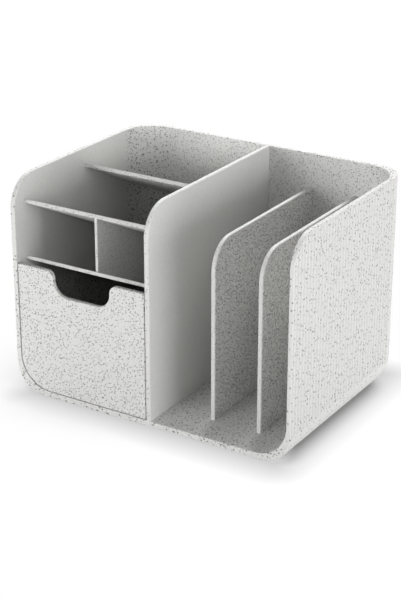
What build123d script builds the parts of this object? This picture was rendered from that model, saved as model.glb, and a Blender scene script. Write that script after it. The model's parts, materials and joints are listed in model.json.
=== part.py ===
from build123d import *
import os
from math import cos, radians, sin, tan

# Desk organizer. A tub-shaped shell, open to the front and the top, is divided by a
# centre wall. Left of it lie a drawer and three slanted shelves, right of it a file
# sorter with two upright dividers. X runs to the right, Y to the back, Z up; the origin
# is on the table, under the middle of the object. All sizes are in millimetres.

# Whole object, standing on its feet
width = 226.0
depth = 164.0
height = 162.0

# Outer shell
side_thick = 3.6
back_thick = 3.4
floor_thick = 4.2
shell_corner = 22.5  # bottom edges and rear corners, outside
inner_corner = 24.5  # the same corners inside, where the moulding is thicker
wall_shoulder = 23.0  # rounding at the front end of the wall tops
edge_round = 0.7  # along the rim of the shell
edge_bevel = 0.5  # along the edges of the panels and of the drawer front

# Centre wall and file dividers
left_bay = 108.2  # clear width between the left wall and the centre wall
centre_thick = 3.6
divider_thick = 3.4
divider_height = 136.4
divider_setback = 25.4
divider_shoulder = 21.5

# Slanted shelves of the left bay
shelf_slope = 26.5  # degrees, falling to the back
shelf_thick = 2.6
shelf_gap = 35.2  # clear height between two shelves, square to them
nose_gap = 2.3  # from the top of the drawer front up to the lower shelf's front edge
lower_nose_setback = 11.5
middle_nose_setback = 11.5
upper_nose_setback = 84.5
shelf_edge_round = 0.5

# Upright cell wall between the lower and the middle shelf
cell_width = 59.0
cell_wall_thick = 2.2
cell_wall_setback = 12.8

# Tongues of the panels, seated in grooves of the shell and of the centre wall
seat_depth = 1.2
seat_fit = 0.1
tongue_setback = 7.0  # a tongue starts this far behind the panel's front or top edge

# Drawer
drawer_gap = 0.6  # all round the drawer front
front_thick = 3.0
front_top = 100.0
front_top_corner = 1.5
notch_width = 47.6
notch_shift = 1.1  # to the right of the middle of the front
notch_depth = 18.0
notch_lip = 6.0
notch_corner = 11.0
notch_clear = 1.5  # by which the tray stays back from the notch of the front
tray_wall = 1.8
tray_floor = 1.8
tray_side_gap = 0.9
tray_rear_gap = 11.1  # behind the tray, to the back wall
tray_front_height = 91.0  # top of the tray walls close behind the drawer front
roof_gap = 4.2  # between the sloped tray walls and the lower shelf, measured upright
tray_inner_round = 3.0
peg_diameter = 4.0
peg_fit = 0.1
peg_rise = 24.0  # from the lower to the upper pegs
peg_rows = 2
peg_columns = 2

# Drawer runners and stop, lying on the floor of the shell
runner_height = 1.2
runner_width = 6.0
runner_clear = 0.3  # between a runner and the tray above it
runner_front = 8.0
runner_rear = 8.1  # ahead of the rounded corner at the back
runner_side = 8.0  # from the centre wall to the right runner
lead_in = 0.6  # bevel at the front of the runners and of the stop
stop_clear = 0.3
stop_setback = 20.7  # from the front edge of the object to the rear face of the stop
stop_length = 3.0
stop_width = 30.0
hook_length = 2.0
hook_inset = 18.5  # from the rear face of the tray
hook_clear = 0.6  # between the hook and the floor

# Feet
foot_proud = 0.8
foot_sunk = 0.7
foot_diameter = 12.0
foot_fit = 0.2
foot_inset_x = 34.0
foot_inset_y = 34.0

# Names of the pieces that repeat
divider_names = ["file_divider_left", "file_divider_right"]
shelf_names = ["lower_shelf", "middle_shelf", "upper_shelf"]
foot_names = ["foot_front_left", "foot_front_right", "foot_rear_left", "foot_rear_right"]

# Places that follow from the sizes above
overshoot = 20.0  # how far cutting shapes run past the object
long_run = 2 * depth  # longer than any slanted piece
front_y = -depth / 2
shell_back_y = depth / 2
shell_bottom = foot_proud
floor_top = shell_bottom + floor_thick
left_inner = side_thick - width / 2
right_inner = width / 2 - side_thick
centre_left = left_inner + left_bay
centre_right = centre_left + centre_thick
file_slots = len(divider_names) + 1
slot_pitch = (right_inner - centre_right + divider_thick) / file_slots
shelf_pitch = (shelf_gap + shelf_thick) / cos(radians(shelf_slope))
tray_base = floor_top + runner_height + runner_clear
tray_left = left_inner + tray_side_gap
tray_right = centre_left - tray_side_gap
tray_front_y = front_y + front_thick
tray_back_y = shell_back_y - back_thick - tray_rear_gap
hook_y = tray_back_y - hook_inset
stop_y = front_y + stop_setback
drawer_travel = hook_y - stop_y - stop_clear
lower_nose_height = front_top + nose_gap
front_left = left_inner + drawer_gap
front_right = centre_left - drawer_gap
front_bottom = floor_top + drawer_gap
front_middle = (front_left + front_right) / 2
notch_middle = front_middle + notch_shift
notch_bottom = front_top - notch_depth

os.makedirs("parts", exist_ok=True)


def tub(half_width, y_front, y_back, bottom, corner):
    """Block with rounded bottom edges and rear corners, square to the front and the top."""
    with BuildPart() as block:
        with BuildSketch(Plane.XY.offset(bottom)):
            with Locations((0, y_front)):
                Rectangle(2 * half_width, y_back - y_front, align=(Align.CENTER, Align.MIN))
        extrude(amount=height + overshoot - bottom)
        rear_corners = block.edges().filter_by(Axis.Z).group_by(Axis.Y)[-1]
        bottom_edges = block.edges().group_by(Axis.Z)[0].sort_by(Axis.Y)[1:]
        fillet(rear_corners + bottom_edges, corner)
    return block.part


def room(grow):
    """The space inside the shell, grown into its walls and floor, or shrunk if negative."""
    y_back = shell_back_y - back_thick + grow
    return tub(right_inner + grow, front_y - overshoot, y_back, floor_top - grow, inner_corner + grow)


def side_block(x, thick, y_front, top, shoulder):
    """Slab square to X that runs past the floor and the back, with a rounded front shoulder."""
    with BuildPart() as block:
        with BuildSketch(Plane.YZ.offset(x)) as view:
            with Locations((y_front, -overshoot)):
                Rectangle(depth + overshoot, top + overshoot, align=(Align.MIN, Align.MIN))
            if shoulder > 0:
                fillet(view.vertices().group_by(Axis.X)[0].sort_by(Axis.Y)[-1], shoulder)
        extrude(amount=thick)
    return block.part


def tongue(x, thick, y_front, top, grow):
    """Strip of a standing panel that reaches the given distance into the floor and the back."""
    with BuildPart() as strip:
        add(side_block(x, thick, y_front, top, 0))
        add(room(grow), mode=Mode.INTERSECT)
    return strip.part


def standing_panel(x, thick, setback, top, shoulder):
    """Upright panel from the floor to its top, with a tongue along its foot and its back edge."""
    with BuildPart() as panel:
        add(side_block(x, thick, front_y + setback, top, shoulder))
        chamfer(panel.faces().filter_by(Axis.X).edges(), edge_bevel)
        add(room(0), mode=Mode.INTERSECT)
        y_tongue = front_y + setback + tongue_setback
        add(tongue(x, thick, y_tongue, top - tongue_setback, seat_depth - seat_fit))
    return panel.part


def panel_groove(x, thick, setback, top):
    """Groove in the shell for the tongue of a standing panel."""
    y_groove = front_y + setback + tongue_setback - seat_fit
    top_groove = top - tongue_setback + seat_fit
    return tongue(x - seat_fit, thick + 2 * seat_fit, y_groove, top_groove, seat_depth)


def nose_height(level, setback):
    """Height of a shelf's front edge; the levels are parallel and one pitch apart."""
    fall = (setback - lower_nose_setback) * tan(radians(shelf_slope))
    return lower_nose_height + level * shelf_pitch - fall


def slope_plane(x, level, setback):
    """Plane in side view with its origin on a shelf's front edge and local X down the shelf."""
    slope = radians(shelf_slope)
    nose = (x, front_y + setback, nose_height(level, setback))
    return Plane(origin=nose, x_dir=(0, cos(slope), -sin(slope)), z_dir=(1, 0, 0))


def sloped_slab(level, setback, start, x_end, grow, fit):
    """Slab along a shelf from start behind its front edge, reaching grow into the shell walls."""
    x_start = left_inner - overshoot
    with BuildPart() as slab:
        with BuildSketch(slope_plane(x_start, level, setback)):
            with Locations((start - fit, fit)):
                Rectangle(long_run, shelf_thick + 2 * fit, align=(Align.MIN, Align.MAX))
        extrude(amount=x_end - x_start)
        if start == 0:
            nose_edges = slab.faces().sort_by(Axis.Y)[0].edges().filter_by(Axis.X)
            fillet(nose_edges, shelf_edge_round)
        add(room(grow), mode=Mode.INTERSECT)
    return slab.part


def sloped_shelf(level, setback):
    """Shelf between the left wall and the centre wall, with tongues on three sides."""
    reach = seat_depth - seat_fit
    with BuildPart() as shelf:
        add(sloped_slab(level, setback, 0, centre_left, 0, 0))
        add(sloped_slab(level, setback, tongue_setback, centre_left + reach, reach, 0))
    return shelf.part


def shelf_groove(level, setback):
    """Groove for a shelf, cut from the shell and from the centre wall alike."""
    x_end = centre_left + seat_depth
    return sloped_slab(level, setback, tongue_setback, x_end, seat_depth, seat_fit)


def finish(part, name):
    """Name a finished piece and write it."""
    part.label = name
    export_step(part, f"parts/{name}.step")
    print(f"{name}: {part.volume / 1000:.1f} cm3")


divider_faces = [centre_right + slot_pitch * n - divider_thick for n in range(1, file_slots)]
shelf_setbacks = [lower_nose_setback, middle_nose_setback, upper_nose_setback]
foot_spots = [
    (side * (width / 2 - foot_inset_x), end * (depth / 2 - foot_inset_y))
    for end in (-1, 1)
    for side in (-1, 1)
]

# Outer shell: floor, side walls and back in one moulding
with BuildPart() as outer_shell:
    add(tub(width / 2, front_y - overshoot, shell_back_y, shell_bottom, shell_corner))
    outline_x = -width / 2 - overshoot
    outline_thick = width + 2 * overshoot
    add(side_block(outline_x, outline_thick, front_y, height, wall_shoulder), mode=Mode.INTERSECT)
    add(room(0), mode=Mode.SUBTRACT)
    # The rim is one ribbon: front edge, rounded shoulders and top; both its long edges are rounded
    front_rim = outer_shell.faces().sort_by(Axis.Y)[0]
    top_rim = outer_shell.faces().sort_by(Axis.Z)[-1]
    shoulders = outer_shell.edges().filter_by(GeomType.CIRCLE).filter_by(Plane.YZ)
    rim_edges = front_rim.edges() + top_rim.edges() + shoulders
    fillet(rim_edges.filter_by(lambda edge: edge.length > 2 * side_thick), edge_round)
    add(panel_groove(centre_left, centre_thick, 0, height), mode=Mode.SUBTRACT)
    for face_x in divider_faces:
        groove = panel_groove(face_x, divider_thick, divider_setback, divider_height)
        add(groove, mode=Mode.SUBTRACT)
    for level, setback in enumerate(shelf_setbacks):
        add(shelf_groove(level, setback), mode=Mode.SUBTRACT)
    with BuildSketch(Plane.XY.offset(shell_bottom)):
        with Locations(foot_spots):
            Circle(foot_diameter / 2 + foot_fit)
    extrude(amount=foot_sunk, mode=Mode.SUBTRACT)
finish(outer_shell.part, "outer_shell")

# Centre wall between the left bay and the file sorter, grooved for the three shelves
with BuildPart() as centre_wall:
    add(standing_panel(centre_left, centre_thick, 0, height, wall_shoulder))
    for level, setback in enumerate(shelf_setbacks):
        add(shelf_groove(level, setback), mode=Mode.SUBTRACT)
finish(centre_wall.part, "centre_wall")

# File dividers, evenly spaced between the centre wall and the right wall
for face_x, name in zip(divider_faces, divider_names):
    with BuildPart() as file_divider:
        add(standing_panel(face_x, divider_thick, divider_setback, divider_height, divider_shoulder))
    finish(file_divider.part, name)

# Slanted shelves; the lowest is the roof over the drawer
for level, name in enumerate(shelf_names):
    with BuildPart() as shelf:
        add(sloped_shelf(level, shelf_setbacks[level]))
    finish(shelf.part, name)

# Upright cell wall, standing square between the lower and the middle shelf
cell_wall_x = left_inner + cell_width
cell_wall_front = front_y + cell_wall_setback
with BuildPart() as cell_divider:
    with BuildSketch(slope_plane(cell_wall_x, 0, lower_nose_setback)):
        with Locations((-overshoot, 0)):
            Rectangle(long_run, shelf_gap, align=(Align.MIN, Align.MIN))
    extrude(amount=cell_wall_thick)
    add(side_block(cell_wall_x, cell_wall_thick, cell_wall_front, height, 0), mode=Mode.INTERSECT)
    front_edges = cell_divider.faces().sort_by(Axis.Y)[0].edges().filter_by(Axis.Z)
    fillet(front_edges, shelf_edge_round)
    add(room(0), mode=Mode.INTERSECT)
finish(cell_divider.part, "cell_divider")


def notch_outline(grow):
    """Finger notch with rounded lower corners, open at the top and grown on its other sides."""
    with BuildSketch() as notch:
        with Locations((notch_middle, front_top)):
            Rectangle(notch_width + 2 * grow, 2 * (notch_depth + grow))
        fillet(notch.vertices().group_by(Axis.Y)[0], notch_corner)
    return notch.sketch


def peg_outlines(diameter):
    """The pegs between drawer front and tray, set out round the middle of the tray's front wall."""
    spread = tray_right - tray_left - 2 * inner_corner
    with BuildSketch() as pegs:
        with Locations((front_middle, (tray_base + notch_bottom) / 2)):
            with GridLocations(spread, peg_rise, peg_columns, peg_rows):
                Circle(diameter / 2)
    return pegs.sketch


# Drawer front with the finger notch in its top edge
with BuildPart() as drawer_front:
    with BuildSketch(Plane.XZ.offset(-front_y)) as outline:
        with Locations((front_left, front_bottom)):
            front_size = (front_right - front_left, front_top - front_bottom)
            Rectangle(*front_size, align=(Align.MIN, Align.MIN))
        fillet(outline.vertices().group_by(Axis.Y)[0].sort_by(Axis.X)[0], inner_corner - drawer_gap)
        fillet(outline.vertices().group_by(Axis.Y)[-1], front_top_corner)
        add(notch_outline(0), mode=Mode.SUBTRACT)
        notch_lips = outline.vertices().group_by(Axis.Y)[-1].sort_by(Axis.X)[1:-1]
        fillet(notch_lips, notch_lip)
    extrude(amount=-front_thick)
    chamfer(drawer_front.faces().sort_by(Axis.Y)[0].edges(), edge_bevel)
    with BuildSketch(Plane.XZ.offset(-tray_front_y)):
        add(peg_outlines(peg_diameter))
    extrude(amount=-tray_wall)
finish(drawer_front.part, "drawer_front")


def tray_block(inset, base, top_front, open_top):
    """Body of the tray under the slanted roof; inset and with an open top it is the hollow."""
    roof_y = front_y + lower_nose_setback
    roof_z = nose_height(0, lower_nose_setback) - shelf_thick / cos(radians(shelf_slope)) - roof_gap
    slope = tan(radians(shelf_slope))
    y_start = tray_front_y + inset
    y_end = tray_back_y - inset
    y_knee = roof_y + (roof_z - top_front) / slope
    z_end = roof_z - (y_end - roof_y) * slope
    top_line = [(y_start, top_front), (y_knee, top_front), (y_end, z_end)]
    if open_top:
        top_line = [(y_start, height), (y_end, height)]
    with BuildPart() as block:
        with BuildSketch(Plane.YZ.offset(tray_left - overshoot)):
            with BuildLine():
                Polyline((y_start, base), *top_line, (y_end, base), close=True)
            make_face()
        extrude(amount=tray_right - inset - tray_left + overshoot)
        if open_top:
            fillet(block.edges().filter_by(Axis.Z), tray_inner_round)
        add(room(-tray_side_gap - inset), mode=Mode.INTERSECT)
    return block.part


# Drawer tray: open box whose side walls fall with the roof, with a hook under its rear end
with BuildPart() as drawer_tray:
    add(tray_block(0, tray_base, tray_front_height, False))
    add(tray_block(tray_wall, tray_base + tray_floor, tray_front_height, True), mode=Mode.SUBTRACT)
    with BuildSketch(Plane.XZ.offset(-tray_front_y)):
        add(notch_outline(notch_clear))
        add(peg_outlines(peg_diameter + 2 * peg_fit))
    extrude(amount=-tray_wall, mode=Mode.SUBTRACT)
    with BuildSketch(Plane.XY.offset(tray_base)):
        with Locations((front_middle, hook_y)):
            Rectangle(stop_width, hook_length, align=(Align.CENTER, Align.MIN))
    extrude(amount=floor_top + hook_clear - tray_base)
finish(drawer_tray.part, "drawer_tray")

# Runners on the floor of the bay, clear of the rounded corner at the left
runner_y = front_y + runner_front
runner_end = shell_back_y - back_thick - inner_corner - runner_rear
runner_spots = {
    "drawer_runner_left": left_inner + inner_corner,
    "drawer_runner_right": centre_left - runner_side - runner_width,
}
for name, runner_x in runner_spots.items():
    with BuildPart() as runner:
        with BuildSketch(Plane.XY.offset(floor_top)):
            with Locations((runner_x, runner_y)):
                Rectangle(runner_width, runner_end - runner_y, align=(Align.MIN, Align.MIN))
        extrude(amount=runner_height)
        chamfer(runner.faces().sort_by(Axis.Z)[-1].edges().group_by(Axis.Y)[0], lead_in)
    finish(runner.part, name)

# Stop block that the hook under the tray meets when the drawer is fully out
with BuildPart() as drawer_stop:
    with BuildSketch(Plane.XY.offset(floor_top)):
        with Locations((front_middle, stop_y)):
            Rectangle(stop_width, stop_length, align=(Align.CENTER, Align.MAX))
    extrude(amount=runner_height)
    chamfer(drawer_stop.faces().sort_by(Axis.Z)[-1].edges().group_by(Axis.Y)[0], lead_in)
finish(drawer_stop.part, "drawer_stop")
print(f"drawer travel: {drawer_travel:.1f} mm")

# Feet: soft pads sunk into the underside
for spot, name in zip(foot_spots, foot_names):
    with BuildPart() as foot:
        with BuildSketch():
            with Locations(spot):
                Circle(foot_diameter / 2)
        extrude(amount=foot_proud + foot_sunk)
    finish(foot.part, name)
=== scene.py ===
# %% [markdown]
# # A speckled desk organizer
#
# The object is a moulded tub, open to the front and the top. A drawer and three slanted shelves fill
# its left half, and an upright file sorter fills its right half. The solid pieces come ready made as
# a fixed frame in metres. This file gives them their finish, a floor, soft light and a camera.

# %% Load the frame
import json
from math import cos, pi, radians, sin

import bpy
import numpy as np
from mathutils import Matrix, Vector


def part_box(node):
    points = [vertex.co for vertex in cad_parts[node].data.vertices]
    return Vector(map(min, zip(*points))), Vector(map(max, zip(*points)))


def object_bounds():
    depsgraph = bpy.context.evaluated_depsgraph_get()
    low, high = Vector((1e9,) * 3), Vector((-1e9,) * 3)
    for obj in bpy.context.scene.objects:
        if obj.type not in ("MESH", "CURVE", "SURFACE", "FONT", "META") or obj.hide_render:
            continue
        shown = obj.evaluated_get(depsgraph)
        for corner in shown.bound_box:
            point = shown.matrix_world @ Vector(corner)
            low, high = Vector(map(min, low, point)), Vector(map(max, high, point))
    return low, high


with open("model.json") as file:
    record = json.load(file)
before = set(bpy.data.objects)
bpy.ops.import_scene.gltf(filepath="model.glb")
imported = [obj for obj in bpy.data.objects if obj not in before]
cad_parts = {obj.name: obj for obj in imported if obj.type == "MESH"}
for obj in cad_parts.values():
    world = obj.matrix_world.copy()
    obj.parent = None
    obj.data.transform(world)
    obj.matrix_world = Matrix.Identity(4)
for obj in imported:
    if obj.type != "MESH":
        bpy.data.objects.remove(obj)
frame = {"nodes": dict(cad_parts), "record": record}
cad_box = [list(corner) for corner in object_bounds()]
MM = 0.001
print("pieces in the frame:", len(frame["nodes"]))

# %% [markdown]
# ## The camera
#
# A product photograph is often taken with a long lens from a little above. The lens and the place
# were found by fitting straight edges of known direction, so the perspective agrees from the front
# rim to the far corner. A long lens is set first, because it decides how far away the camera stands.

# %% Camera
CAMERA_PLACE = (0.55383, -0.89638, 0.51436)
CAMERA_TURN = (66.967, 0.0, 32.078)
CAMERA_LENS = 95.3
SENSOR_WIDTH = 36.0

camera_data = bpy.data.cameras.new("camera")
camera_data.lens = CAMERA_LENS
camera_data.sensor_width = SENSOR_WIDTH
camera_data.sensor_fit = "AUTO"
camera = bpy.data.objects.new("camera", camera_data)
camera.location = CAMERA_PLACE
camera.rotation_euler = [radians(angle) for angle in CAMERA_TURN]
bpy.context.scene.collection.objects.link(camera)
bpy.context.scene.camera = camera
print("camera lens in mm:", camera_data.lens)

# %% [markdown]
# ## Colour as written
#
# The Standard view only converts each colour for the screen, where other views also bend it for a
# film look. It keeps the plastic's grey easy to judge.

# %% View
bpy.context.scene.view_settings.view_transform = "Standard"
print("view:", bpy.context.scene.view_settings.view_transform)

# %% [markdown]
# ## Helpers for node materials
#
# A material is a small graph of nodes. Short helpers that add a node, do a sum or mix two colours
# keep the graphs below readable. Each takes sockets and plain numbers alike.


# %% Node helpers
def add_node(tree, kind, **values):
    """Adds a node and sets its properties by name."""
    node = tree.nodes.new(kind)
    for name, value in values.items():
        setattr(node, name, value)
    return node


def feed(tree, socket, value):
    """Gives a socket its value: a link where the value is a socket, else a number or a colour."""
    if isinstance(value, bpy.types.NodeSocket):
        tree.links.new(value, socket)
    else:
        socket.default_value = value


def math_node(tree, operation, first, second=0.0, third=0.0, clamp=False):
    """A Math node; each input is a socket or a number."""
    node = add_node(tree, "ShaderNodeMath", operation=operation, use_clamp=clamp)
    for socket, value in zip(node.inputs, (first, second, third)):
        feed(tree, socket, value)
    return node.outputs[0]


def mix_colour(tree, amount, low, high):
    """A colour between low, at amount 0, and high, at amount 1."""
    node = add_node(tree, "ShaderNodeMix", data_type="RGBA")
    feed(tree, node.inputs["Factor"], amount)
    feed(tree, node.inputs["A"], low)
    feed(tree, node.inputs["B"], high)
    return node.outputs["Result"]


def new_group(name, inputs, output):
    """An empty shader node group with float inputs, a Vector input and one float output."""
    group = bpy.data.node_groups.new(name, "ShaderNodeTree")
    group.interface.new_socket("Vector", in_out="INPUT", socket_type="NodeSocketVector")
    for title in inputs:
        group.interface.new_socket(title, in_out="INPUT", socket_type="NodeSocketFloat")
    group.interface.new_socket(output, in_out="OUTPUT", socket_type="NodeSocketFloat")
    return group, add_node(group, "NodeGroupInput"), add_node(group, "NodeGroupOutput")


def place_group(tree, group, where, **inputs):
    """Places a group in a material with its own values and returns its output."""
    node = add_node(tree, "ShaderNodeGroup", node_tree=group)
    tree.links.new(where, node.inputs["Vector"])
    for title, value in inputs.items():
        feed(tree, node.inputs[title], value)
    return node.outputs[0]


# %% [markdown]
# ## Specks
#
# The real plastic has dark grains mixed into it before moulding, so every surface shows small round
# dots at random. A Voronoi texture gives each cell of space one random point, and the distance to
# that point makes a round dot. Each cell's random colour decides whether its dot shows, how large it
# is and how dark. A picture would need unwrapping, while this pattern runs through the solid as the
# grains do.

# %% Speck group
DOT_EDGE = 30.0
SMALLEST_DOT = 0.6
DOT_SPREAD = 0.6
PALEST_DOT = 0.7

speck_group, enter, leave = new_group("specks", ("Scale", "Radius", "Share", "Seed"), "Mask")
moved = add_node(speck_group, "ShaderNodeVectorMath", operation="ADD")
speck_group.links.new(enter.outputs["Vector"], moved.inputs[0])
speck_group.links.new(enter.outputs["Seed"], moved.inputs[1])
cells = add_node(speck_group, "ShaderNodeTexVoronoi", voronoi_dimensions="3D", feature="F1")
speck_group.links.new(moved.outputs[0], cells.inputs["Vector"])
speck_group.links.new(enter.outputs["Scale"], cells.inputs["Scale"])
lots = add_node(speck_group, "ShaderNodeSeparateColor")
speck_group.links.new(cells.outputs["Color"], lots.inputs[0])
spread = math_node(speck_group, "MULTIPLY_ADD", lots.outputs[1], DOT_SPREAD, SMALLEST_DOT)
dot_size = math_node(speck_group, "MULTIPLY", enter.outputs["Radius"], spread)
inside = math_node(speck_group, "SUBTRACT", dot_size, cells.outputs["Distance"])
round_dot = math_node(speck_group, "MULTIPLY", inside, DOT_EDGE, clamp=True)
chosen = math_node(speck_group, "LESS_THAN", lots.outputs[0], enter.outputs["Share"])
depth = math_node(speck_group, "MULTIPLY_ADD", lots.outputs[2], 1.0 - PALEST_DOT, PALEST_DOT)
shown = math_node(speck_group, "MULTIPLY", math_node(speck_group, "MULTIPLY", round_dot, chosen), depth)
speck_group.links.new(shown, leave.inputs["Mask"])
print("speck group inputs:", [item.name for item in speck_group.interface.items_tree])

# %% [markdown]
# ## Mottle
#
# Between the specks the filler itself is uneven, a little paler here and darker there from one grain
# to the next. The random value of each small Voronoi cell gives this mottle. Noise would be softer,
# but the real surface looks sharp-grained from close by.

# %% Mottle group
mottle_group, enter, leave = new_group("mottle", ("Scale",), "Value")
grains = add_node(mottle_group, "ShaderNodeTexVoronoi", voronoi_dimensions="3D", feature="F1")
mottle_group.links.new(enter.outputs["Vector"], grains.inputs["Vector"])
mottle_group.links.new(enter.outputs["Scale"], grains.inputs["Scale"])
grain_lots = add_node(mottle_group, "ShaderNodeSeparateColor")
mottle_group.links.new(grains.outputs["Color"], grain_lots.inputs[0])
mottle_group.links.new(grain_lots.outputs[0], leave.inputs["Value"])
print("mottle group inputs:", [item.name for item in mottle_group.interface.items_tree])

# %% [markdown]
# ## Fine texture
#
# A mould for a matt part is etched, and the plastic copies its tiny pits. They are far smaller than
# the specks. Noise gives their height, a Bump node turns height into shading, and every plastic and
# the rubber use the same group with their own size and depth. Height is in millimetres here.

# %% Texture group
PIT_DETAIL = 1.0

grain_group, enter, leave = new_group("etched_grain", ("Scale", "Depth"), "Height")
pits = add_node(grain_group, "ShaderNodeTexNoise")
grain_group.links.new(enter.outputs["Vector"], pits.inputs["Vector"])
grain_group.links.new(enter.outputs["Scale"], pits.inputs["Scale"])
pits.inputs["Detail"].default_value = PIT_DETAIL
pit_height = math_node(grain_group, "MULTIPLY", pits.outputs["Fac"], enter.outputs["Depth"])
grain_group.links.new(pit_height, leave.inputs["Height"])
print("texture group inputs:", [item.name for item in grain_group.interface.items_tree])

# %% [markdown]
# ## Colours of the plastic
#
# The body is a warm off-white and the grains in it are nearly black. Blender's nodes take linear
# values: 0.72 here is a light grey of about 0.87 in a picture file.

# %% Plastic colours
OFF_WHITE = (0.72, 0.72, 0.705)
GRAIN_DARK = (0.015, 0.015, 0.015, 1.0)
print("body colour:", OFF_WHITE)

# %% [markdown]
# ## Quiet zones
#
# Parts of this moulding have a thin clean skin: some whole faces, and the narrow edges. A quiet zone
# names such a place by an axis, a place along it and half its width, and says how much of the
# mottle and of each layer of specks still shows there. It reads the same coordinates as the specks,
# so no face has to be picked by hand.

# %% Quiet zones
FACE_BAND = 0.05 * MM


def in_zone(tree, where, axis, place, half_width):
    """1 within half_width of this place along the axis, 0 elsewhere."""
    parts = add_node(tree, "ShaderNodeSeparateXYZ")
    tree.links.new(where, parts.inputs[0])
    return math_node(tree, "COMPARE", parts.outputs[axis], place, half_width)


def face_zone(axis, place, shares):
    """Quiet zone that holds one flat face."""
    return axis, place, FACE_BAND, shares


def edge_zone(axis, low, high, shares):
    """Quiet zone that holds the narrow edges of a wall whose two broad faces lie at low and high."""
    return axis, (low + high) / 2, (high - low) / 2 - FACE_BAND, shares


print("half width of a face's zone in mm:", round(FACE_BAND / MM, 3))

# %% [markdown]
# ## Mould lines
#
# The right outer side shows faint upright lines that the mould left. A sine along one axis gives
# soft grooves between ridges. They lower the bump height, and a painted shade also darkens the
# grooves a little, because at this size the light alone would hardly show them.

# %% Mould lines
RIB_PAINTED_SHADE = 0.13


def mould_lines(tree, where, ribs, height, colour):
    """Lowers the height and darkens the colour in the grooves with painted shade, and returns both.

    A groove is half of the sine plus a half, so it goes smoothly from 0 on a ridge to 1.
    """
    face_axis, face_place, along, spacing, rib_depth = ribs
    parts = add_node(tree, "ShaderNodeSeparateXYZ")
    tree.links.new(where, parts.inputs[0])
    turns = math_node(tree, "MULTIPLY", parts.outputs[along], 2 * pi / (spacing * MM))
    groove = math_node(tree, "MULTIPLY_ADD", math_node(tree, "SINE", turns), 0.5, 0.5)
    groove = math_node(tree, "MULTIPLY", groove, in_zone(tree, where, face_axis, face_place, FACE_BAND))
    height = math_node(tree, "MULTIPLY_ADD", groove, -rib_depth, height)
    colour = mix_colour(tree, math_node(tree, "MULTIPLY", groove, RIB_PAINTED_SHADE), colour, GRAIN_DARK)
    return height, colour


print("shade in the grooves:", RIB_PAINTED_SHADE)

# %% [markdown]
# ## Speckled plastic
#
# The filler mottles the body colour, and layers of specks lie on it, from large dark grains to fine
# grey ones. The surface is matt, so its roughness is high. One function makes every speckled finish
# here, and the numbers say how crowded, how large and how dark its grains are. The cells of a layer
# are about twice as wide as its specks. Smaller cells would cut the specks into slivers where two of
# them meet.

# %% Speckled plastic
MOTTLE_CELL = 0.8
SEED_STEP = 0.37
PLASTIC_ROUGHNESS = 0.55
PLASTIC_IOR = 1.46
PIT_SCALE = 1400.0
PIT_DEPTH = 0.03


def speckled_plastic(name, mottle, layers, quiet_zones=(), ribs=None):
    """Off-white plastic with layers of specks.

    mottle is how far the body colour swings, as a part of itself. A layer is (cell size in mm, speck
    radius in mm, share of cells with a speck, darkness 0 to 1). A quiet zone is (axis, place, half
    width, how much of the mottle and of each layer shows there). ribs is (axis and place of the
    ribbed face, axis along which they repeat, their spacing in mm, their depth in mm).
    """
    material = bpy.data.materials.new(name)
    material.use_nodes = True
    tree = material.node_tree
    shader = tree.nodes["Principled BSDF"]
    where = add_node(tree, "ShaderNodeTexCoord").outputs["Object"]

    zones = [(in_zone(tree, where, *zone), shares) for *zone, shares in quiet_zones]

    def quieted(value, number):
        """The value, lowered in each quiet zone to the share given there under this number."""
        for zone, shares in zones:
            value = math_node(tree, "MULTIPLY", value,
                              math_node(tree, "MULTIPLY_ADD", zone, shares[number] - 1.0, 1.0))
        return value

    swing = place_group(tree, mottle_group, where, Scale=1.0 / (MOTTLE_CELL * MM))
    swing = math_node(tree, "MULTIPLY", math_node(tree, "SUBTRACT", swing, 0.5), 2.0)
    level = math_node(tree, "MULTIPLY_ADD", quieted(swing, 0), 0.5, 0.5)
    low = [channel * (1.0 - mottle) for channel in OFF_WHITE] + [1.0]
    high = [channel * (1.0 + mottle) for channel in OFF_WHITE] + [1.0]
    colour = mix_colour(tree, level, low, high)
    height = place_group(tree, grain_group, where, Scale=PIT_SCALE, Depth=PIT_DEPTH)
    if ribs:
        height, colour = mould_lines(tree, where, ribs, height, colour)

    for number, (cell, radius, share, darkness) in enumerate(layers, start=1):
        dots = place_group(tree, speck_group, where, Scale=1.0 / (cell * MM), Radius=radius / cell,
                           Share=share, Seed=SEED_STEP * number)
        amount = math_node(tree, "MULTIPLY", quieted(dots, number), darkness)
        colour = mix_colour(tree, amount, colour, GRAIN_DARK)
    tree.links.new(colour, shader.inputs["Base Color"])

    bump = add_node(tree, "ShaderNodeBump")
    bump.inputs["Distance"].default_value = MM
    tree.links.new(height, bump.inputs["Height"])
    tree.links.new(bump.outputs["Normal"], shader.inputs["Normal"])
    shader.inputs["Roughness"].default_value = PLASTIC_ROUGHNESS
    shader.inputs["IOR"].default_value = PLASTIC_IOR
    print("material", name, "with", len(layers), "layers of specks")
    return material


# %% [markdown]
# ## The outer shell
#
# The inside of the back wall is crowded with small grains. The outer sides have mostly the large
# ones, and the right one also has the mould lines. The inside of the left wall is almost plain, and
# the narrow rims keep only the large grains. These places are found from the shell's own box, so they
# stay right if the width, the depth or the height changes.

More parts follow.
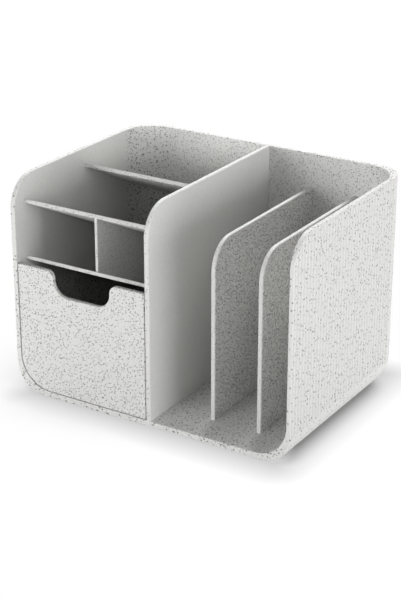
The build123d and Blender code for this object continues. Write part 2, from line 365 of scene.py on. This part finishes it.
# %% Shell plastic
shell_low, shell_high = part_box("outer_shell")
SIDE_THICK = 3.6 * MM
BACK_THICK = 3.4 * MM
EVEN_MOTTLE = 0.07
RIB_SPACING = 4.1
RIB_DEPTH = 0.02
SHELL_LAYERS = [
    (2.2, 0.57, 0.95, 1.0),
    (1.7, 0.42, 0.95, 1.0),
    (1.4, 0.30, 0.60, 0.5),
]
LEFT_INSIDE_SHARES = (0.3, 0.0, 0.15, 0.3)
OUTER_SIDE_SHARES = (0.9, 1.0, 0.1, 0.4)
BACK_INSIDE_SHARES = (1.0, 0.3, 1.0, 1.0)
RIM_SHARES = (0.5, 0.8, 0.0, 0.0)
shell_plastic = speckled_plastic(
    "shell_plastic", EVEN_MOTTLE, SHELL_LAYERS,
    quiet_zones=[
        face_zone("X", shell_low[0] + SIDE_THICK, LEFT_INSIDE_SHARES),
        face_zone("X", shell_low[0], OUTER_SIDE_SHARES),
        face_zone("X", shell_high[0], OUTER_SIDE_SHARES),
        face_zone("Y", shell_high[1] - BACK_THICK, BACK_INSIDE_SHARES),
        edge_zone("X", shell_low[0], shell_low[0] + SIDE_THICK, RIM_SHARES),
        edge_zone("X", shell_high[0] - SIDE_THICK, shell_high[0], RIM_SHARES),
    ],
    ribs=("X", shell_high[0], "Y", RIB_SPACING, RIB_DEPTH),
)

# %% [markdown]
# ## The walls and the shelves
#
# The centre wall shows only faint grains on its big right face, and mainly the large dark ones on its
# edges. The two thin dividers of the file sorter have many fine grains, which read as a grey grain
# from a step away, and cleaner edges. The shelves are crowded too, apart from their front edges. The
# finishes are kept under the names of their pieces, so each can differ without painting by hand.

# %% Centre wall
CENTRE_LAYERS = [
    (2.2, 0.50, 0.90, 1.0),
    (1.5, 0.36, 0.80, 0.7),
]
CENTRE_FACE_SHARES = (0.3, 0.0, 0.35)
CENTRE_EDGE_SHARES = (0.5, 0.7, 0.2)
PIECE_FINISH = {}

wall_low, wall_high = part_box("centre_wall")
PIECE_FINISH["centre_wall"] = speckled_plastic(
    "centre_wall_plastic", EVEN_MOTTLE, CENTRE_LAYERS,
    quiet_zones=[
        face_zone("X", wall_high[0], CENTRE_FACE_SHARES),
        edge_zone("X", wall_low[0], wall_high[0], CENTRE_EDGE_SHARES),
    ],
)

# %% [markdown]
# ## File dividers and cell divider
#
# The file dividers swing most between pale and dark grains. The divider between the two cubbies has
# the same layers, but a quieter right face, which lies in the shade.

# %% Dividers
PANEL_LAYERS = [
    (1.7, 0.50, 0.95, 1.0),
    (1.4, 0.39, 0.95, 1.0),
]
FILE_MOTTLE = 0.18
PANEL_MOTTLE = 0.10
EDGE_SHARES = (0.3, 0.4, 0.1)
CELL_FACE_SHARES = (0.5, 0.3, 0.5)
for name in ("file_divider_left", "file_divider_right"):
    low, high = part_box(name)
    edges = edge_zone("X", low[0], high[0], EDGE_SHARES)
    PIECE_FINISH[name] = speckled_plastic(name + "_plastic", FILE_MOTTLE, PANEL_LAYERS, quiet_zones=[edges])

low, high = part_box("cell_divider")
PIECE_FINISH["cell_divider"] = speckled_plastic(
    "cell_divider_plastic", PANEL_MOTTLE, PANEL_LAYERS,
    quiet_zones=[
        face_zone("X", high[0], CELL_FACE_SHARES),
        edge_zone("X", low[0], high[0], EDGE_SHARES),
    ],
)

# %% [markdown]
# ## Shelves
#
# The front edge of a shelf is the only part of it near its lowest Y. A quiet zone there keeps the
# edge clean and leaves the rest of the shelf as it is.

# %% Shelves
NOSE_DEPTH = 1.4 * MM
for name in ("lower_shelf", "middle_shelf", "upper_shelf"):
    low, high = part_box(name)
    nose = edge_zone("Y", low[1], low[1] + NOSE_DEPTH, EDGE_SHARES)
    PIECE_FINISH[name] = speckled_plastic(name + "_plastic", PANEL_MOTTLE, PANEL_LAYERS, quiet_zones=[nose])

# %% [markdown]
# ## The drawer
#
# The drawer front is the most crowded face, with small dark grains close together. The tray behind
# it is made of the same plastic.

# %% Drawer plastic
DRAWER_LAYERS = [
    (1.9, 0.49, 0.90, 1.0),
    (1.8, 0.44, 0.90, 1.0),
    (1.4, 0.31, 0.60, 0.5),
]
drawer_plastic = speckled_plastic("drawer_plastic", EVEN_MOTTLE, DRAWER_LAYERS)

# %% [markdown]
# ## Runners and feet
#
# The strips that the drawer slides on are a smooth, slightly glossy plastic without grains, because
# grains would wear the drawer. The four feet are a grey rubber: very matt, with a coarser texture
# and a little dust-like paleness, which a noise mixes into the grey.

# %% Runner plastic and rubber
RUNNER_LOW = (0.78, 0.78, 0.77, 1.0)
RUNNER_HIGH = (0.82, 0.82, 0.81, 1.0)
RUBBER_LOW = (0.20, 0.20, 0.195, 1.0)
RUBBER_HIGH = (0.27, 0.27, 0.265, 1.0)


def plain_finish(name, low, high, patch_scale, pit_scale, pit_depth, roughness, ior):
    """A finish without specks: two close colours in soft patches and an etched texture."""
    material = bpy.data.materials.new(name)
    material.use_nodes = True
    tree = material.node_tree
    shader = tree.nodes["Principled BSDF"]
    where = add_node(tree, "ShaderNodeTexCoord").outputs["Object"]
    patches = add_node(tree, "ShaderNodeTexNoise")
    tree.links.new(where, patches.inputs["Vector"])
    patches.inputs["Scale"].default_value = patch_scale
    tree.links.new(mix_colour(tree, patches.outputs["Fac"], low, high), shader.inputs["Base Color"])
    bump = add_node(tree, "ShaderNodeBump")
    bump.inputs["Distance"].default_value = MM
    height = place_group(tree, grain_group, where, Scale=pit_scale, Depth=pit_depth)
    tree.links.new(height, bump.inputs["Height"])
    tree.links.new(bump.outputs["Normal"], shader.inputs["Normal"])
    shader.inputs["Roughness"].default_value = roughness
    shader.inputs["IOR"].default_value = ior
    print("material", name)
    return material


runner_plastic = plain_finish(
    "runner_plastic", RUNNER_LOW, RUNNER_HIGH,
    patch_scale=120.0, pit_scale=2500.0, pit_depth=0.01, roughness=0.32, ior=1.46,
)
foot_rubber = plain_finish(
    "foot_rubber", RUBBER_LOW, RUBBER_HIGH,
    patch_scale=400.0, pit_scale=900.0, pit_depth=0.06, roughness=0.85, ior=1.5,
)

# %% [markdown]
# ## Finishes on their pieces
#
# Each piece of the frame names its material slot, so a finish goes to all pieces with that slot.
# The walls and the shelves share a slot, but each has a finish of its own, with its own clean edges.

# %% Assign the finishes
SLOT_FINISH = {
    "shell_plastic": shell_plastic,
    "drawer_plastic": drawer_plastic,
    "runner_plastic": runner_plastic,
    "foot_rubber": foot_rubber,
}
for part in frame["record"]["subparts"]:
    finish = PIECE_FINISH.get(part["node"]) or SLOT_FINISH[part["material_slot"]]
    for material_slot in frame["nodes"][part["node"]].material_slots:
        material_slot.material = finish
    print(part["node"], "has", finish.name)

# %% [markdown]
# ## The floor
#
# The floor is a wide sheet that runs out of sight. Four corners and one face are enough for a flat
# sheet.

# %% Floor sheet
FLOOR_HALF = 12.0

floor_mesh = bpy.data.meshes.new("floor")
floor_corners = np.array([(-1, -1, 0), (1, -1, 0), (1, 1, 0), (-1, 1, 0)]) * FLOOR_HALF
floor_mesh.from_pydata(floor_corners.tolist(), [], [(0, 1, 2, 3)])
floor = bpy.data.objects.new("floor", floor_mesh)
bpy.context.scene.collection.objects.link(floor)
print("floor half width in m:", FLOOR_HALF)

# %% [markdown]
# ## White for the camera
#
# A product photograph has a plain white background. Making the lamps stronger until the floor turns
# white would bleach the object too. So the rays from the camera are told apart from the light that
# bounces, and see white. Reflections see white as well, so gloss shows the same surroundings.


# %% Camera rays
def camera_sees(tree):
    """1 for rays from the camera and for reflections and refractions, 0 for light that bounces."""
    path = add_node(tree, "ShaderNodeLightPath")
    seen = math_node(tree, "MAXIMUM", path.outputs["Is Camera Ray"], path.outputs["Is Glossy Ray"])
    return math_node(tree, "MAXIMUM", seen, path.outputs["Is Transmission Ray"])


# %% [markdown]
# ## The soft shadow
#
# The white floor carries a painted shadow, darkened only close to the object, where the object hides
# the light. The Ambient Occlusion node measures how much is hidden, and so gives the narrow soft shadow
# of a product photograph, also round the open drawer. The painted shadow reaches farther on the left,
# away from the lamp at the right, and a painted paleness keeps it light along the front edge, where the
# front lamp shines under the object.

# %% Soft shadow
SHADOW_REACH = 0.044
REACH_LEAN = 0.2
SHADOW_RAYS = 16
SHADOW_DEPTH = 1.25
SHADOW_CURVE = 1.9
FRONT_EDGE = (-0.075, -0.05)
DARKEST = (0.62, 0.2)

floor_material = bpy.data.materials.new("floor")
floor_material.use_nodes = True
floor_tree = floor_material.node_tree
place = add_node(floor_tree, "ShaderNodeSeparateXYZ")
floor_tree.links.new(add_node(floor_tree, "ShaderNodeTexCoord").outputs["Object"], place.inputs[0])
hidden = add_node(floor_tree, "ShaderNodeAmbientOcclusion", samples=SHADOW_RAYS)
reach = math_node(floor_tree, "MULTIPLY_ADD", place.outputs["X"], -REACH_LEAN, SHADOW_REACH)
floor_tree.links.new(reach, hidden.inputs["Distance"])
shade = math_node(floor_tree, "SUBTRACT", 1.0, hidden.outputs["AO"], clamp=True)
shade = math_node(floor_tree, "POWER", shade, SHADOW_CURVE)
white = math_node(floor_tree, "MULTIPLY_ADD", shade, -SHADOW_DEPTH, 1.0)
# Painted paleness along the front edge: there the floor's white stays at least this light.
painted_front_paleness = add_node(floor_tree, "ShaderNodeMapRange")
for socket, value in zip(painted_front_paleness.inputs[1:5], FRONT_EDGE + DARKEST):
    socket.default_value = value
floor_tree.links.new(place.outputs["Y"], painted_front_paleness.inputs["Value"])
white = math_node(floor_tree, "MAXIMUM", white, painted_front_paleness.outputs["Result"])
print("shadow reach at the middle in mm:", round(SHADOW_REACH / MM, 1))

# %% [markdown]
# ## The painted shadow band round the object
#
# In front of the open half there is little to hide the light, and the shadow would stop there. A
# soft painted shadow band therefore runs round the rectangle on which the object stands. Its white
# grows in a straight line with the distance from that rectangle, and the darker of band and shadow
# counts.

# %% Shadow band
SHADOW_BAND_WIDTH = 27 * MM
SHADOW_BAND_DARK = 0.64
SHADOW_BAND_INSET = 12 * MM


def beyond(tree, where, low, high):
    """How far a coordinate lies outside the range from low to high, and 0 inside it."""
    under = math_node(tree, "SUBTRACT", low, where)
    over = math_node(tree, "SUBTRACT", where, high)
    return math_node(tree, "MAXIMUM", math_node(tree, "MAXIMUM", under, over), 0.0)


aside = beyond(floor_tree, place.outputs["X"], cad_box[0][0] + SHADOW_BAND_INSET, cad_box[1][0] - SHADOW_BAND_INSET)
ahead = beyond(floor_tree, place.outputs["Y"], cad_box[0][1], cad_box[1][1])
away = math_node(floor_tree, "MULTIPLY_ADD", ahead, ahead, math_node(floor_tree, "MULTIPLY", aside, aside))
away = math_node(floor_tree, "SQRT", away)
# Painted shadow: darkest at the rectangle, white again at the band's width.
painted_shadow_band = math_node(floor_tree, "MULTIPLY_ADD", away, (1.0 - SHADOW_BAND_DARK) / SHADOW_BAND_WIDTH, SHADOW_BAND_DARK)
white = math_node(floor_tree, "MINIMUM", white, painted_shadow_band)
print("band width in mm:", round(SHADOW_BAND_WIDTH / MM, 1))

# %% [markdown]
# ## The floor's material
#
# Light that bounces meets a pale matt sheet and is thrown back on the object, as from any table. The
# camera sees the white with its shadow instead.

# %% Floor material
FLOOR_PALE = (0.8, 0.8, 0.8, 1.0)

floor_tree.nodes.remove(floor_tree.nodes["Principled BSDF"])
pale = add_node(floor_tree, "ShaderNodeBsdfDiffuse")
pale.inputs["Color"].default_value = FLOOR_PALE
glow = add_node(floor_tree, "ShaderNodeEmission")
floor_tree.links.new(white, glow.inputs["Strength"])
floor_mix = add_node(floor_tree, "ShaderNodeMixShader")
floor_tree.links.new(camera_sees(floor_tree), floor_mix.inputs["Fac"])
floor_tree.links.new(pale.outputs[0], floor_mix.inputs[1])
floor_tree.links.new(glow.outputs[0], floor_mix.inputs[2])
floor_tree.links.new(floor_mix.outputs[0], floor_tree.nodes["Material Output"].inputs["Surface"])
floor_mesh.materials.append(floor_material)
print("floor colour for bouncing light:", FLOOR_PALE[:3])

# %% [markdown]
# ## The sky
#
# A weak even sky fills every side a little. The camera sees it as plain white.

# %% Sky
SKY_LIGHT = 0.08
world = bpy.data.worlds.new("studio")
bpy.context.scene.world = world
world.use_nodes = True
world_tree = world.node_tree
background = world_tree.nodes["Background"]
background.inputs["Color"].default_value = (1.0, 1.0, 1.0, 1.0)
sky_strength = math_node(world_tree, "MULTIPLY_ADD", camera_sees(world_tree), 1.0 - SKY_LIGHT, SKY_LIGHT)
world_tree.links.new(sky_strength, background.inputs["Strength"])
print("sky light:", SKY_LIGHT)

# %% [markdown]
# ## The lamps
#
# Two soft lamps stand low, one in front and a little to the left, one at the right. They light the
# outer walls fully, while the walls themselves keep them out of the cubbies and the file sorter,
# which fall off into shade. A strong lamp high behind the object brightens the top edges, and a weak
# one at the front right reaches the inside.

# %% Lamps
LAMP_DISTANCE = 1.5
OBJECT_MIDDLE = (Vector(cad_box[0]) + Vector(cad_box[1])) / 2


def soft_lamp(name, azimuth, elevation, size, level):
    """Square area lamp that faces the object.

    Azimuth 0 stands in front and 90 to the right, in degrees. Level is how bright a white sheet at
    the object would look, turned towards the lamp: power = level * pi squared * distance squared.
    """
    turn, rise = radians(azimuth), radians(elevation)
    towards = Vector((sin(turn) * cos(rise), -cos(turn) * cos(rise), sin(rise)))
    data = bpy.data.lights.new(name, "AREA")
    data.size = size
    data.energy = level * pi**2 * LAMP_DISTANCE**2
    lamp = bpy.data.objects.new(name, data)
    lamp.location = OBJECT_MIDDLE + towards * LAMP_DISTANCE
    lamp.rotation_euler = towards.to_track_quat("Z", "Y").to_euler()
    bpy.context.scene.collection.objects.link(lamp)
    print(name, "power in watts:", round(data.energy, 1))


soft_lamp("lamp_front", azimuth=-16.0, elevation=4.0, size=0.6, level=0.65)
soft_lamp("lamp_right", azimuth=82.0, elevation=5.0, size=0.7, level=0.72)
soft_lamp("lamp_above_right", azimuth=60.0, elevation=30.0, size=1.0, level=0.11)
soft_lamp("lamp_behind", azimuth=-148.0, elevation=50.0, size=0.8, level=1.06)
